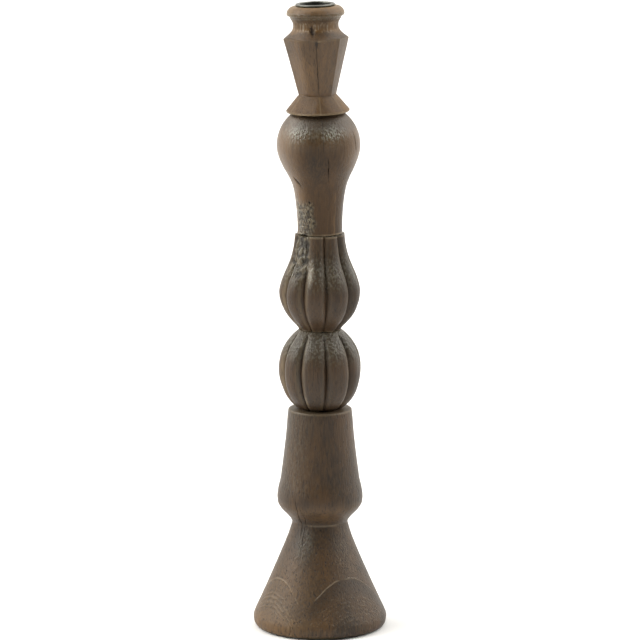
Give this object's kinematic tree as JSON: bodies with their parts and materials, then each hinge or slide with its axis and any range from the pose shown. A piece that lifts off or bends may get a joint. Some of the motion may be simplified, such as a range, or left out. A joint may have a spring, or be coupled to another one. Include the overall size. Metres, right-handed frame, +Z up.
{
  "type": "candle holder",
  "caption": "Tall turned and carved dark wood candle holder: spreading foot, tapered drum, ribbed melon and gourd, bulb neck and faceted socket with a lift-out steel candle cup.",
  "frame": {"origin": "on the foot's turning axis, at the underside of the felt pad where the holder stands", "axes": "+Z up along the turning axis, -Y toward the viewer of the picture, +X to the viewer's right"},
  "size_m": [0.0978, 0.0978, 0.4608],
  "materials": {
    "dark_stained_wood": "turned and carved hardwood, dark brown stain, rubbed wax, worn edges",
    "dowel_wood": "plain beech dowel, hidden",
    "darkened_steel": "pressed sheet steel, darkened, dull grey-black",
    "wool_felt": "pressed wool felt, matt"
  },
  "bodies": {
    "holder": {"base_pad": "wool_felt", "base": "dark_stained_wood", "base_dowel": "dowel_wood", "ribbed_melon": "dark_stained_wood", "waist_dowel": "dowel_wood", "ribbed_gourd": "dark_stained_wood", "neck_dowel": "dowel_wood", "bulb_neck": "dark_stained_wood", "socket_dowel": "dowel_wood", "socket_block": "dark_stained_wood"},
    "cup": {"candle_cup": "darkened_steel"}
  },
  "joints": [
    {"name": "cup_lift", "type": "slide", "parent": "holder", "child": "cup", "axis": [-0.0262, 0, 0.9997], "range_m": [0, 0.03]}
  ]
}
